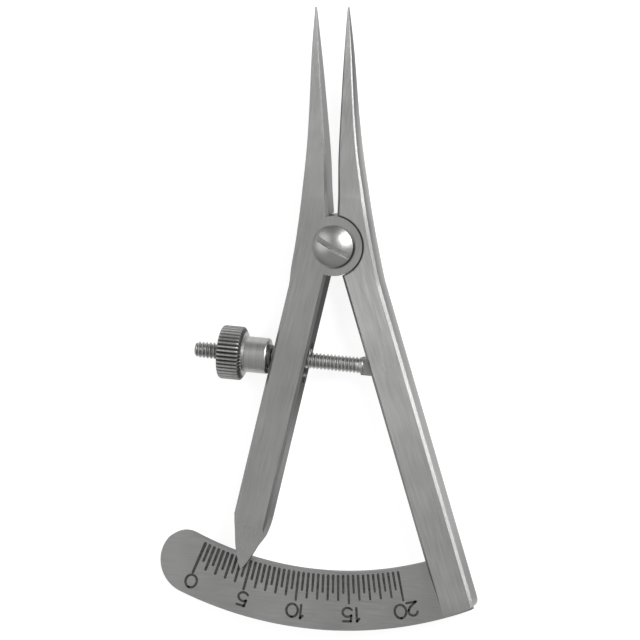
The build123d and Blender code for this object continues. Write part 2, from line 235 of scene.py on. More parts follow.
def tone_along(tree, y, stops):
    """A tone that follows (y in mm, tone) stops: the first tone, and a smooth step from each to the next."""
    tone = stops[0][1]
    for (y0, tone0), (y1, tone1) in zip(stops, stops[1:]):
        step = add(tree, "ShaderNodeMapRange", {"Value": y, "From Min": y0 * MM, "From Max": y1 * MM,
                                                "To Min": 0.0, "To Max": tone1 - tone0},
                   interpolation_type="SMOOTHSTEP").outputs[0]
        tone = add(tree, "ShaderNodeMath", {0: tone, 1: step}, operation="ADD").outputs[0]
    return tone


print("made three helpers: share, toned and tone_along")

# %% [markdown]
# Painted shade makes two thin dark seams at the pivot, where the discs of the legs meet and at the foot of the
# screw's head. Each is a ring on the front, told by the distance from the pivot's axis. A ring that the real
# one shows on one side only, as a shadow, fades out away from a direction, by the cosine of the angle to it.

# %% Painted shade in the seams of the pivot
CORE = 0.4                              # share of a mark's half width that has its whole tone
PIVOT_FRONT = (3.0 * MM, 3.4 * MM)      # heights between which a ring on the front comes in
RING_SIDE = (0.2, 0.85)                 # cosines to a ring's direction between which it comes in


def apart(tree, value, at):
    """How far a value is from another: |value - at|."""
    off = add(tree, "ShaderNodeMath", {0: value, 1: at}, operation="SUBTRACT").outputs[0]
    return add(tree, "ShaderNodeMath", {0: off}, operation="ABSOLUTE").outputs[0]


def ring(tree, coords, radius, half_width, towards):
    """1 on a ring round the pivot's front and 0 off it. Towards (x, y) keeps the side that lies that way."""
    flat = add(tree, "ShaderNodeVectorMath", {0: coords, 1: (1.0, 1.0, 0.0)}, operation="MULTIPLY").outputs[0]
    length = add(tree, "ShaderNodeVectorMath", {0: flat}, operation="LENGTH").outputs["Value"]
    z = add(tree, "ShaderNodeSeparateXYZ", {0: coords}).outputs["Z"]
    off = apart(tree, length, radius * MM)
    tests = [(off, half_width * MM, CORE * half_width * MM), (z, *PIVOT_FRONT)]
    if towards:
        unit = add(tree, "ShaderNodeVectorMath", {0: flat}, operation="NORMALIZE").outputs[0]
        cosine = add(tree, "ShaderNodeVectorMath", {0: unit, 1: (*towards, 0.0)},
                     operation="DOT_PRODUCT").outputs["Value"]
        tests.append((cosine, *RING_SIDE))
    return share(tree, *tests)


print("a seam 0.28 mm wide is fully dark over", round(0.28 * CORE, 3), "mm")

# %% [markdown]
# The normal's Z tells how far a surface is turned from the front: near 0 is a side wall, near 1 the flat
# face, and between them lies a bevel. A wall that the camera sees at a low angle would mirror the white
# floor as brightly as any other steel, so the wall's painted shade also dims its Specular Tint, which paints
# the same shade into its reflection.

# %% Walls, bevels and faces
# Each pair gives where a test begins to hold and where it holds in full.
WALL_Z, FACE_Z = (0.5, 0.2), (0.93, 0.98)
BEVEL_Z = ((0.4, 0.5), (0.95, 0.85))
TO_RIGHT, TO_LEFT = (0.2, 0.4), (-0.2, -0.4)          # of the normal's X
SLOPE_Z, SLOPE_Y = (0.9, 0.93), (-0.03, -0.1)
FADE_HEIGHT = (0.8 * MM, (LEG_T - 0.5) * MM)
REFLECTION_SHADE_POWER = 0.35                                # the painted shade in reflections is the wall's tone to this power


def paint_light_and_shade(tree, coords, colour, wall, fade=None, edge=None, far=None, face=None, slope=None):
    """Colour with painted light and shade by place, and a Specular Tint that carries the same painted shade.
    Each list has (y in mm, tone) stops along the leg: wall for painted shade on the side walls and fade for
    their further shade at the front, edge for painted highlight and shade on bevels that look to +X, far for
    painted shade on those to -X, face for painted light on the flat front, and slope for painted light on a
    face that leans towards the scale."""
    place = add(tree, "ShaderNodeSeparateXYZ", {0: coords}).outputs
    normal = add(tree, "ShaderNodeTexCoord").outputs["Normal"]
    normal = add(tree, "ShaderNodeSeparateXYZ", {0: normal}).outputs
    upright = add(tree, "ShaderNodeMath", {0: normal["Z"]}, operation="ABSOLUTE").outputs[0]
    wall_tone = tone_along(tree, place["Y"], wall)
    if fade:
        height = share(tree, (place["Z"], *FADE_HEIGHT))
        front = add(tree, "ShaderNodeMapRange", {"Value": height, "To Min": 1.0,
                                                 "To Max": tone_along(tree, place["Y"], fade)}).outputs[0]
        wall_tone = add(tree, "ShaderNodeMath", {0: wall_tone, 1: front}, operation="MULTIPLY").outputs[0]
    side = share(tree, (upright, *WALL_Z))
    colour = toned(tree, colour, side, wall_tone)
    tint_tone = add(tree, "ShaderNodeMath", {0: wall_tone, 1: REFLECTION_SHADE_POWER}, operation="POWER").outputs[0]
    tint = toned(tree, (1.0, 1.0, 1.0), side, tint_tone)
    bevel = [(upright, *limits) for limits in BEVEL_Z]
    for tests, stops in (([*bevel, (normal["X"], *TO_RIGHT)], edge),
                         ([*bevel, (normal["X"], *TO_LEFT)], far),
                         ([(upright, *FACE_Z)], face),
                         ([(upright, *SLOPE_Z), (normal["Y"], *SLOPE_Y)], slope)):
        if stops:
            colour = toned(tree, colour, share(tree, *tests), tone_along(tree, place["Y"], stops))
    return colour, tint


print("a wall's normal has a Z under", WALL_Z[0], "and a face's one over", FACE_Z[0])

# %% [markdown]
# Every steel here ends in the same few nodes, whatever made its grain. A hand-held belt also presses
# unevenly, which leaves wide soft clouds, so colour and roughness follow the grain and a cloud together.

# %% The finish that all the steels share
CLOUD_MM = 9
CLOUD_SHARE, GRAIN_SHARE = 0.45, 0.55
MIDDLE = (0.3, 0.7)      # the part of a noise's range where nearly all of its values lie
RELIEF = 0.35            # the bump's strength on every steel


def finish_steel(material, tree, coords, grain, colours, roughness, relief_mm, marks=(), painted_tones=None,
                 across=None, stretch=0.0):
    """Colours and roughness, each (low, high), follow 0.55 grain + 0.45 cloud. The grain gives the relief.
    Marks lists (share, tone) pairs of painted shade and painted highlight. Painted tones add light and shade
    by place. Stretch is the anisotropy, along the vector across."""
    cloud = add(tree, "ShaderNodeTexNoise", {"Vector": coords, "Scale": 1 / (CLOUD_MM * MM), "Detail": 4.0,
                                             "Roughness": 0.55}).outputs["Fac"]
    fine = add(tree, "ShaderNodeMath", {0: grain, 1: GRAIN_SHARE}, operation="MULTIPLY").outputs[0]
    both = add(tree, "ShaderNodeMath", {0: cloud, 1: CLOUD_SHARE, 2: fine}, operation="MULTIPLY_ADD")
    level = share(tree, (both.outputs[0], *MIDDLE))
    colour = add(tree, "ShaderNodeMix", {"Factor": level, 6: linear(colours[0]), 7: linear(colours[1])},
                 data_type="RGBA").outputs[2]
    for part, tone in marks:
        colour = toned(tree, colour, part, tone)
    rough = add(tree, "ShaderNodeMapRange", {"Value": level, "To Min": roughness[0], "To Max": roughness[1]})
    relief = add(tree, "ShaderNodeBump", {"Height": grain, "Strength": RELIEF, "Distance": relief_mm * MM})
    inputs = {"Metallic": 1.0, "Anisotropic": stretch, "Roughness": rough.outputs[0],
              "Normal": relief.outputs["Normal"]}
    # painted light and shade by place, on the colour and on the Specular Tint
    if painted_tones:
        colour, inputs["Specular Tint"] = paint_light_and_shade(tree, coords, colour, **painted_tones)
    if stretch:
        inputs["Tangent"] = add(tree, "ShaderNodeVectorTransform", {0: across}, vector_type="VECTOR",
                                convert_from="OBJECT", convert_to="WORLD").outputs[0]
    shader = add(tree, "ShaderNodeBsdfPrincipled", {"Base Color": colour, **inputs})
    add(tree, "ShaderNodeOutputMaterial", {"Surface": shader.outputs[0]})
    print(material.name, "has", len(tree.nodes), "nodes")
    return material


print("clouds", CLOUD_MM, "mm wide, and a relief of", RELIEF, "of each finish's depth")

# %% [markdown]
# A brushed finish puts these together: the grain, which also says which way lies across it, the painted
# shade in the seams and the painted light and shade by place. Anisotropy in the shader spreads the highlight
# as scratches too fine to draw would. Its direction is the vector across the grain, turned from object space
# to world space, so that it stays on a moving leg. The rod's flat eye is milled and the spring is drawn wire.
# Both need only a grain of their own, and no painted tones.

# %% Brushed steel
def brushed_steel(name, colours, roughness, turns, across_mm=GRAIN_ACROSS_MM, along_mm=GRAIN_ALONG_MM,
                  relief_mm=0.035, stretch=0.0, painted_tones=None, seam_shade=()):
    """Steel brushed along Y, turned by the angles in turns. Seam shade lists rings of painted shade round the
    pivot, as (radius, half width, direction, tone) with lengths in mm."""
    material, tree = new_material(name)
    coords = add(tree, "ShaderNodeTexCoord").outputs["Object"]

    def grain_at(angle):
        turned = add(tree, "ShaderNodeVectorRotate", {"Vector": coords, "Angle": np.radians(angle)},
                     rotation_type="Z_AXIS").outputs[0]
        return brushed(tree, turned, across_mm, along_mm)

    def across_at(angle):
        a = np.radians(angle)
        return add(tree, "ShaderNodeCombineXYZ", {0: np.cos(a), 1: -np.sin(a), 2: 0.0}).outputs[0]

    grain = along_turns(tree, coords, turns, grain_at)
    across = along_turns(tree, coords, turns, across_at) if stretch else None
    # painted shade: dark rings in the seams round the pivot, on one side only where a direction is given
    painted_seams = [(ring(tree, coords, *where), tone) for *where, tone in seam_shade]
    return finish_steel(material, tree, coords, grain, colours, roughness, relief_mm, painted_seams, painted_tones, across,
                        stretch)


# An even, dull grey with a short grain.
eye_steel = brushed_steel("adjusting rod's eye, milled stainless steel", ("989897", "B2B2B1"), (0.36, 0.46),
                          [(0.0, 0, 0)], 0.12, 3.0, 0.02)
# Darker and shinier, with very fine lines.
wire_steel = brushed_steel("return spring, drawn stainless wire", ("8A8A8A", "A6A6A6"), (0.25, 0.38),
                           [(0.0, 0, 0)], 0.05, 1.2, 0.01)
dress(nodes["adjusting_rod"], eye_steel)
dress(nodes["return_spring"], wire_steel)
print("milled steel on the rod, drawn wire on the spring")

# %% [markdown]
# The two legs and the plate are the same steel, brushed alike. To the eye it is a soft mid grey without
# colour, with faint streaks along each bar and a highlight drawn out across them. The scale leg has painted
# shade on its walls and a painted highlight on the bevel along its outer edge. The pointer leg's wall by the
# rod's slot is painted nearly black as shade, and painted shade darkens the seams round the pivot. The plate
# is brushed along its arc, is a little lighter, and has painted shade on its walls.

# %% Satin-brushed stainless steel
# A highlight drawn out across the bar, painted shade on the walls and the inner bevel, a painted highlight on
# the outer bevel, painted light on the middle of the face and painted shade in the seam round the pivot.
scale_leg_steel = brushed_steel(
    "scale leg, satin-brushed stainless steel", ("9A9A99", "B3B3B2"), (0.30, 0.42),
    [(-ARM_ANGLE, 0, 0), (3.0, -2.0, 12.0)], stretch=0.75, seam_shade=[(4.41, 0.14, None, 0.3)],
    painted_tones={"wall": [(-46, 0.55), (-36, 0.75), (12, 0.75), (26, 0.4)],
           "fade": [(-30, 1.0), (5, 0.4)],
           "edge": [(-52, 0.45), (-46, 1.0), (-24, 1.1), (-6, 0.72), (10, 0.8), (24, 0.8), (33, 0.35)],
           "far": [(-47, 0.35), (-42, 0.75), (0, 0.8)],
           "face": [(-51, 0.98), (-44, 1.1), (-30, 1.14), (-12, 1.14), (2, 1.0)]})
# The same grey, with a wall painted nearly black as shade by the rod, painted light on the face where its
# end leans to the scale, and painted shade in the seams round the pivot.
pointer_leg_steel = brushed_steel(
    "pointer leg, satin-brushed stainless steel", ("9C9C9B", "B2B2B1"), (0.30, 0.42),
    [(POINTER_ANGLE_CLOSED - POINTER_TURN_AT_REST, 0, 0), (2.0, -2.0, 12.0)], stretch=0.6,
    seam_shade=[(3.0, 0.34, (0.82, -0.57), 0.2), (4.26, 0.1, (1.0, 0.0), 0.4)],
    painted_tones={"wall": [(-40, 0.28), (-31, 0.42), (-19, 0.13), (-2, 0.12), (8, 0.55)],
           "edge": [(-40, 0.7), (-33, 0.95), (-8, 0.9), (4, 0.3), (8, 0.3), (17, 0.4)],
           "far": [(0, 0.7), (20, 0.8)],
           "slope": [(0, 1.3)]})
# A lighter and more even grey, on which the black marks read, with painted shade on its walls.
plate_steel = brushed_steel("scale plate, satin-brushed stainless steel", ("A4A4A3", "BCBCBB"), (0.32, 0.44),
                            [(90.0, 0, 0)], stretch=0.5, painted_tones={"wall": [(0, 0.35)]})
dress(nodes["scale_leg"], scale_leg_steel)
dress(nodes["rod_hinge_pin"], scale_leg_steel)
dress(nodes["pointer_leg"], pointer_leg_steel)
dress(nodes["scale_plate"], plate_steel)
print("brushed steel on the legs, the hinge pin and the plate")

# %% [markdown]
# The screw, the nut and the washer are turned on a lathe. The tool leaves rings round the axis, so the
# pattern depends only on the distance from the axis and along it. Real rings are some hundredths of a
# millimetre apart, too fine to show, so here they are drawn about 0.15 mm apart. The bright edge of the
# screw's slot is a painted highlight. It could be a painted mask; a straight line beside the slot is easier.

# %% Turned steel
GROOVE_START_WIDTH = 0.1        # mm over which the painted shade in a groove comes in
SLOT_HIGHLIGHT_RUN = (-1.2, 0.3)          # mm along the slot between which its painted highlight comes in


def turned_steel(name, colours, roughness, centre, axis, rings_mm, relief_mm, groove_shade=None, slot_highlight=None):
    """Steel with rings round an axis through centre: a noise of the distances from and along the axis.
    Groove shade gives (start, floor, crest, tone): painted shade between start and crest, most at the floor.
    Slot highlight gives (angle, distance, half width, tone) for a painted highlight beside a slot across the
    axis."""
    material, tree = new_material(name)
    coords = add(tree, "ShaderNodeTexCoord").outputs["Object"]
    offset = add(tree, "ShaderNodeVectorMath", {0: coords, 1: tuple(np.array(centre) * MM)},
                 operation="SUBTRACT").outputs[0]
    along = add(tree, "ShaderNodeVectorMath", {0: offset, 1: tuple(axis)}, operation="DOT_PRODUCT")
    around = add(tree, "ShaderNodeVectorMath", {0: offset, 1: tuple(axis)}, operation="CROSS_PRODUCT")
    radius = add(tree, "ShaderNodeVectorMath", {0: around.outputs[0]}, operation="LENGTH").outputs["Value"]
    place = add(tree, "ShaderNodeCombineXYZ", {0: radius, 1: along.outputs["Value"]}).outputs[0]
    scaled = add(tree, "ShaderNodeVectorMath", {0: place, "Scale": 1 / (rings_mm * MM)}, operation="SCALE")
    rings = add(tree, "ShaderNodeTexNoise", {"Vector": scaled.outputs[0], "Scale": 1.0, "Detail": 2.0,
                                             "Roughness": 0.6}).outputs["Fac"]
    marks = []
    if groove_shade:
        start, floor, crest, tone = groove_shade
        marks.append((share(tree, (radius, crest * MM, floor * MM),
                            (radius, (start - GROOVE_START_WIDTH) * MM, start * MM)), tone))
    if slot_highlight:
        angle, distance, half_width, tone = slot_highlight
        a = np.radians(angle)
        side = add(tree, "ShaderNodeVectorMath", {0: offset, 1: (-np.sin(a), np.cos(a), 0.0)},
                   operation="DOT_PRODUCT").outputs["Value"]
        run = add(tree, "ShaderNodeVectorMath", {0: offset, 1: (np.cos(a), np.sin(a), 0.0)},
                  operation="DOT_PRODUCT").outputs["Value"]
        off = apart(tree, side, -distance * MM)
        marks.append((share(tree, (off, half_width * MM, CORE * half_width * MM),
                            (run, SLOT_HIGHLIGHT_RUN[0] * MM, SLOT_HIGHLIGHT_RUN[1] * MM)), tone))
    return finish_steel(material, tree, coords, rings, colours, roughness, relief_mm, marks)


print("axis of the nut's rings:", ROD_DIR.round(4))

# %% [markdown]
# The screw is polished after turning, so it keeps only faint rings and takes a round highlight. The nut is
# left as turned, with painted shade in the knurl's grooves that makes its ridges stand out. The washer beside
# it is painted dark as shade, which shows as a dark band at the end of the nut's collar. The rod's thread is
# rolled, not cut, so its crests are smooth and light, and painted shade darkens its floors.

# %% Steel on the screw, the nut, the washer and the thread
# A smooth round highlight, and a short painted highlight beside the slot.
screw_steel = turned_steel("pivot screw, turned and polished stainless steel", ("9A9A9A", "B2B2B1"),
                           (0.32, 0.40), (0, 0, 0), (0, 0, 1), 0.14, 0.015, slot_highlight=(-26.0, 0.42, 0.12, 1.7))
# Light ridges on a dark ground: painted shade fills the knurl's floors.
nut_steel = turned_steel("thumb nut, turned stainless steel", ("989897", "BCBCBA"), (0.34, 0.46),
                         ROD_START, ROD_DIR, 0.16, 0.02, (3.2, 3.52, 3.76, 0.22))
# A dark ring that hardly shines, painted dark as shade in the gap at the end of the nut's collar.
washer_steel = turned_steel("thrust washer, turned steel painted dark as shade", ("606060", "7A7A79"), (0.34, 0.46),
                            ROD_START, ROD_DIR, 0.16, 0.02)
# Bright crests with painted shade on the floors between them.
thread_steel = turned_steel("adjusting rod, rolled thread in stainless steel", ("B2B2B0", "D2D2D0"),
                            (0.36, 0.48), ROD_START, ROD_DIR, 0.09, 0.02, (0.0, 0.92, 1.12, 0.5))
dress(nodes["pivot_screw"], screw_steel)
dress(nodes["thrust_washer"], washer_steel)
print("turned steel on the screw and the washer")

# %% [markdown]
# The return spring is one open turn of wire round the screw. One end is bent up into the pointer leg and the
# other down into the scale leg, so it winds as the legs open. A rigid copy of it can't do that. Here it is a
# tube along that path, built once in place at rest, which doesn't wind.

# %% The return spring
SPRING_R, SPRING_WIRE_R, SPRING_BEND_R, SPRING_TANG = 2.25, 0.25, 0.45, 0.45
SPRING_Z = MID_Z + 0.42
SPRING_HALF_ARC = np.radians(150)
SPRING_ARC_POINTS, SPRING_BEND_POINTS, SPRING_SIDES = 97, 8, 16


def spring_path():
    """Arc (R cos a, R sin a, z), and at each end a quarter bend, centre + b (sin f * t +- cos f * z), with a
    straight tang."""
    turn = np.linspace(SPRING_HALF_ARC, -SPRING_HALF_ARC, SPRING_ARC_POINTS) + np.pi / 2
    arc = np.stack([SPRING_R * np.cos(turn), SPRING_R * np.sin(turn), np.full_like(turn, SPRING_Z)], axis=-1)
    bend = np.linspace(0, np.pi / 2, SPRING_BEND_POINTS + 1)[1:]
    ends = []
    for end, side in ((0, 1.0), (-1, -1.0)):
        a = turn[end]
        tangent = side * np.array([-np.sin(a), np.cos(a), 0.0])
        rise = np.array([0.0, 0.0, side * SPRING_BEND_R])
        onward, away = SPRING_BEND_R * np.sin(bend)[:, None] * tangent, np.cos(bend)[:, None] * rise
        curve = arc[end] + rise + onward - away
        tang = curve[-1] + np.array([0.0, 0.0, side * SPRING_TANG]) * np.array([[0.5], [1.0]])
        ends.append(np.concatenate([curve, tang]))
    return np.concatenate([ends[0][::-1], arc, ends[1]])


def spring_wire():
    """A tube r (cos v * n + sin v * b) along the path, where n points away from the pivot's axis."""
    path = spring_path()
    along = np.gradient(path, axis=0)
    along /= np.linalg.norm(along, axis=1, keepdims=True)
    out = path * (1.0, 1.0, 0.0)
    out -= (out * along).sum(axis=1, keepdims=True) * along
    out /= np.linalg.norm(out, axis=1, keepdims=True)
    side = np.cross(along, out)
    path = np.concatenate([path[:1], path, path[-1:]])
    out, side = (np.concatenate([d[:1], d, d[-1:]]) for d in (out, side))
    radius = np.full(len(path), SPRING_WIRE_R)
    radius[[0, -1]] = 0
    v = np.linspace(0, 2 * np.pi, SPRING_SIDES, endpoint=False)
    around = np.cos(v)[None, :, None] * out[:, None] + np.sin(v)[None, :, None] * side[:, None]
    points = path[:, None] + radius[:, None, None] * around
    return mesh_object("spring_wire", points, grid_faces(len(path), len(v), False, True))


wire = spring_wire()
shade(wire, 50)
dress(wire, wire_steel)
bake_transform(wire)
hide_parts("return_spring")
print("spring_wire:", len(wire.data.polygons), "faces")

# %% [markdown]
# The adjusting rod carries a fine right-hand thread, 0.53 mm from crest to crest. A thread is a profile
# carried round a helix, so the grid is sheared: a row climbs one pitch each turn, and every crest then
# follows a line of the mesh, which keeps it clean at any size. The last column lands on the row one pitch on.

# %% The thread of the adjusting rod
PITCH = 0.53
THREAD_START, ROD_END = 4.15, 28.1
ROD_R, THREAD_DEPTH = 1.15, 0.27
RUNOUT_TURNS = 0.9                                    # over which the thread reaches its full depth
TIP_BEVEL, START_STEP, START_SLOPE = 0.35, 0.07, 2
THREAD_COLUMNS = 49
# The profile over one pitch: the part of the pitch, and the part of the depth cut away there.
PROFILE_PHASE = np.array([0.0, 0.07, 0.2, 0.33, 0.40, 0.5, 0.60, 0.67, 0.80, 0.93])
PROFILE_CUT = np.array([0.0, 0.0, 0.40, 0.86, 0.97, 1.0, 0.97, 0.86, 0.40, 0.0])


def rod_thread():
    """r(s, theta) = R - depth * runout(s) * cut(s / pitch - theta / 2 pi), limited by the end's bevel.
    The rows start a pitch early and end a pitch late, and s is held between the two ends."""
    theta = np.linspace(0, 2 * np.pi, THREAD_COLUMNS)
    turns = np.arange(-2, int((ROD_END - THREAD_START) / PITCH) + 3)
    phase = (turns[:, None] + PROFILE_PHASE).ravel()
    cut = np.tile(PROFILE_CUT, len(turns))
    s = THREAD_START + PITCH * (phase[:, None] + theta / (2 * np.pi))
    s_held = np.clip(s, THREAD_START, ROD_END)
    runout = np.clip((s_held - THREAD_START) / (RUNOUT_TURNS * PITCH), 0, 1)
    radius = ROD_R - THREAD_DEPTH * runout * cut[:, None]
    radius = np.where(s > ROD_END, ROD_R - THREAD_DEPTH, radius)
    radius = np.where(s < THREAD_START, ROD_R, radius)
    radius = np.minimum(radius, ROD_R - TIP_BEVEL + (ROD_END - s_held))
    radius = np.minimum(radius, ROD_R - START_STEP + (s_held - THREAD_START) * START_SLOPE)
    radius[[0, -1]] = 0
    points = on_rod(s_held, radius, np.broadcast_to(theta, s.shape))
    return mesh_object("rod_thread", points, grid_faces(len(phase), THREAD_COLUMNS, False, False))


thread = rod_thread()
shade(thread, 50)
dress(thread, thread_steel)
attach(thread, "rod_body")
print("rod_thread:", len(thread.data.polygons), "faces")

# %% [markdown]
# The flat eye and the round neck of the rod keep the structure's own shape. A copy of that mesh is cut where
# the thread begins, so the eye and the thread together stand for the whole rod.

# %% The rod's eye
EYE_OVERLAP = 0.02      # mm that the eye reaches into the thread, so that no gap shows


def rod_eye():
    """A copy of the structural rod, cut square to its axis just inside the start of the thread."""
    mesh = nodes["adjusting_rod"].data.copy()
    mesh.name = "rod_eye"
    bm = bmesh.new()
    bm.from_mesh(mesh)
    bmesh.ops.remove_doubles(bm, verts=bm.verts, dist=SAME_POINT)
    at = on_rod(np.array(THREAD_START + EYE_OVERLAP), np.array(0.0), np.array(0.0)) * MM
    cut = bmesh.ops.bisect_plane(bm, geom=[*bm.verts, *bm.edges, *bm.faces], plane_co=Vector(at),
                                 plane_no=Vector(ROD_DIR), clear_outer=True)
    rim = [e for e in cut["geom_cut"] if isinstance(e, bmesh.types.BMEdge)]
    bmesh.ops.holes_fill(bm, edges=rim, sides=0)
    bm.to_mesh(mesh)
    bm.free()
    return link_new("rod_eye", mesh)


eye = rod_eye()
shade(eye, 30)
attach(eye, "rod_body")
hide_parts("adjusting_rod")
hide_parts("adjusting_rod")
print("rod_eye:", len(eye.data.polygons), "faces")

# %% [markdown]
# The thumb nut is one turned piece: a smooth collar, a short cone and a rim with straight knurling, which is
# a row of V grooves pressed in along the axis. The profile is walked once round, from the bore's start back
# to itself, and repeated round the axis. The grooves bite only where the profile is wider than their floor.

# %% The thumb nut
NUT_AT = (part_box("thumb_nut")[1].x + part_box("thumb_nut")[0].x) / 2 / MM
BORE_R, COLLAR_R, COLLAR_L, HEAD_R, HEAD_L, BEVEL_L, BEVEL_R = 1.21, 2.52, 3.4, 3.77, 3.0, 0.5, 3.05
NUT_LENGTH = COLLAR_L + BEVEL_L + HEAD_L
NUT_START = float(np.dot(np.array([NUT_AT, HINGE[1]]) - HINGE, ROD_DIR[:2])) - NUT_LENGTH / 2
EDGE_L, EDGE_R, EDGE_POINTS = 0.42, 0.34, 6      # the rounding of the rim's outer edge
RECESS, RECESS_R = 0.12, 2.1                     # the shallow turned recess in the nut's outer end
KNURL_TEETH, KNURL_DEPTH, KNURL_SAMPLES = 40, 0.26, 8
# The groove over one tooth: the part of the tooth, and the part of the depth pressed in there.
KNURL_PHASE, KNURL_CUT = [0.0, 0.3, 0.6, 0.7, 1.0], [0.0, 0.0, 1.0, 1.0, 0.0]
SMOOTH_STEP = 0.3                                # what stands less than this over the collar isn't knurled


def nut_profile():
    """Closed (s, r) outline in mm from the face by the washer, outside first and back through the bore."""
    head = COLLAR_L + BEVEL_L
    end = NUT_LENGTH
    corner = np.linspace(0, np.pi / 2, EDGE_POINTS)
    round_edge = [(end - EDGE_L + EDGE_L * np.sin(a), HEAD_R - EDGE_R + EDGE_R * np.cos(a)) for a in corner]
    face = [(0.18, BORE_R), (0.0, BORE_R + 0.18), (0.0, COLLAR_R - 0.25), (0.05, COLLAR_R - 0.08)]
    collar = [(0.2, COLLAR_R), (0.3, COLLAR_R), (1.2, COLLAR_R), (2.4, COLLAR_R), (COLLAR_L - 0.32, COLLAR_R)]
    neck = [(COLLAR_L - 0.28, COLLAR_R - 0.05), (COLLAR_L - 0.05, COLLAR_R - 0.05), (COLLAR_L, COLLAR_R)]
    cone = [(COLLAR_L, BEVEL_R - 0.08), (COLLAR_L + 0.03, BEVEL_R), (head - 0.02, HEAD_R - 0.03)]
    rim = [(head + 0.04, HEAD_R), (head + 0.9, HEAD_R), (head + 1.8, HEAD_R), *round_edge]
    back = [(end, 3.0), (end, RECESS_R), (end - RECESS, RECESS_R - 0.15), (end - RECESS, BORE_R + 0.3)]
    bore = [(end - 0.3, BORE_R), (end / 2, BORE_R)]
    return np.array([*face, *collar, *neck, *cone, *rim, *back, *bore])


def thumb_nut():
    """r = min(outline, R - depth * v(theta)) on the rim, where v is a V groove with a narrow flat crest."""
    outline = nut_profile()
    samples = KNURL_TEETH * KNURL_SAMPLES
    theta = np.linspace(0, 2 * np.pi, samples, endpoint=False)
    groove = np.interp((theta * KNURL_TEETH / (2 * np.pi)) % 1.0, KNURL_PHASE, KNURL_CUT)
    s, r = outline[:, 0:1], outline[:, 1:2]
    radius = np.where(r > COLLAR_R + SMOOTH_STEP, np.minimum(r, HEAD_R - KNURL_DEPTH * groove), r)
    s = np.broadcast_to(s, radius.shape) + NUT_START
    points = on_rod(s, radius, np.broadcast_to(theta, radius.shape))
    return mesh_object("thumb_nut_knurled", points, grid_faces(len(outline), samples, True, True))


nut = thumb_nut()
shade(nut, 28)
dress(nut, nut_steel)
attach(nut, "nut_body")
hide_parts("thumb_nut")
print("thumb_nut_knurled:", len(nut.data.polygons), "faces, from", round(NUT_START, 3), "mm along the rod")

# %% [markdown]
# Marks and numbers are thin black strokes. Each could be cut into the plate and filled, which needs a very
# fine mesh there. A mark here is a flat bar with rounded ends, a hundredth of a millimetre proud, so that it
# reads as filled and lies on the plate.

# %% Strokes on the plate
STROKE_FOOT, STROKE_TOP = PLATE_T - 0.004, PLATE_T + 0.012
CAP_STEPS = 5


def stroke(path, width_start, width_end):
    """Four rows of points along a path: a flat bar whose half-round ends shrink to nothing.
    Each end adds points beyond it at w/2 sin t, where the half width is w/2 cos t."""
    path = np.asarray(path, float)
    d = np.gradient(path, axis=0)
    d /= np.linalg.norm(d, axis=1)[:, None]
    run = np.concatenate([[0], np.cumsum(np.linalg.norm(np.diff(path, axis=0), axis=1))])
    half = np.interp(run, [0, run[-1]], [width_start / 2, width_end / 2])
    t = np.linspace(0, np.pi / 2, CAP_STEPS + 1)[1:]
    tip = path[-1] + half[-1] * np.sin(t)[:, None] * d[-1]
    tail = path[0] - half[0] * np.sin(t[::-1])[:, None] * d[0]
    centre = np.concatenate([tail, path, tip])
    d = np.concatenate([np.repeat(d[:1], CAP_STEPS, 0), d, np.repeat(d[-1:], CAP_STEPS, 0)])
    half = np.concatenate([half[0] * np.cos(t[::-1]), half, half[-1] * np.cos(t)])
    side = np.column_stack([-d[:, 1], d[:, 0]]) * half[:, None]
    low, high = np.full(len(centre), STROKE_FOOT), np.full(len(centre), STROKE_TOP)
    left, right = centre + side, centre - side
    rows = [np.column_stack([left, low]), np.column_stack([left, high]),
            np.column_stack([right, high]), np.column_stack([right, low])]
    return np.stack(rows, axis=1)


def raised_strokes(name, strokes):
    """One mesh of thin raised strokes, each a closed bar."""
    points, faces, start = [], [], 0
    for rows in strokes:
        points.append(rows.reshape(-1, 3))
        faces.append(grid_faces(len(rows), 4, False, True) + start)
        start += rows.shape[0] * 4
    return mesh_object(name, np.concatenate(points), np.concatenate(faces))


print("strokes stand", round(STROKE_TOP - PLATE_T, 3), "mm proud of the plate")

# %% [markdown]
# The scale reads the distance between the points, with short marks at the halves and long ones at the fives.
# A leg of 33.6 mm opens by 2 asin(d / 67.2) for a distance d, so the marks spread a little towards the 20.
# A mark is a little wider where the engraving wheel enters. The marks get finer along the scale, and the long
# ones a little shorter, as on the real one.

# %% The scale's marks
POINT_LENGTH = 33.6
ZERO_ANGLE = -21.02
SCALE_END = 20
MARK_START, WHOLE_END, HALF_END = 47.08, 50.47, 49.45                         # mm from the pivot
LONG_AT, LONG_END = [0, 5, 10, 15, 20], [51.6, 51.2, 51.0, 50.95, 51.15]      # at these readings
WIDTH_AT, MARK_WIDTH = [0, 8, 12, 20], [0.46, 0.43, 0.40, 0.37]
MARK_TAPER, MARK_POINTS = 0.08, 6


def scale_marks():
    """A mark for each half millimetre d, at the angle that the legs open by for it: 2 asin(d / 2L)."""
    bars = []
    for half in range(2 * SCALE_END + 1):
        long_end = np.interp(half / 2, LONG_AT, LONG_END)
        end = long_end if half % 10 == 0 else WHOLE_END if half % 2 == 0 else HALF_END
        a = np.radians(ZERO_ANGLE) + 2 * np.arcsin(half / 2 / (2 * POINT_LENGTH))
        out = np.array([np.sin(a), -np.cos(a)])
        radii = np.linspace(MARK_START, end, MARK_POINTS)[:, None]
        width = np.interp(half / 2, WIDTH_AT, MARK_WIDTH)
        bars.append(stroke(out * radii, width, width - MARK_TAPER))
    return raised_strokes("scale_marks", bars)


marks = scale_marks()
print("scale_marks:", len(marks.data.polygons), "faces")

# %% [markdown]
# The numbers are single strokes of one width, as a pantograph engraver cuts them. Each figure is a short path
# in a box 1 wide and 1 high, turned into a ribbon with round ends. Their tops point away from the pivot.

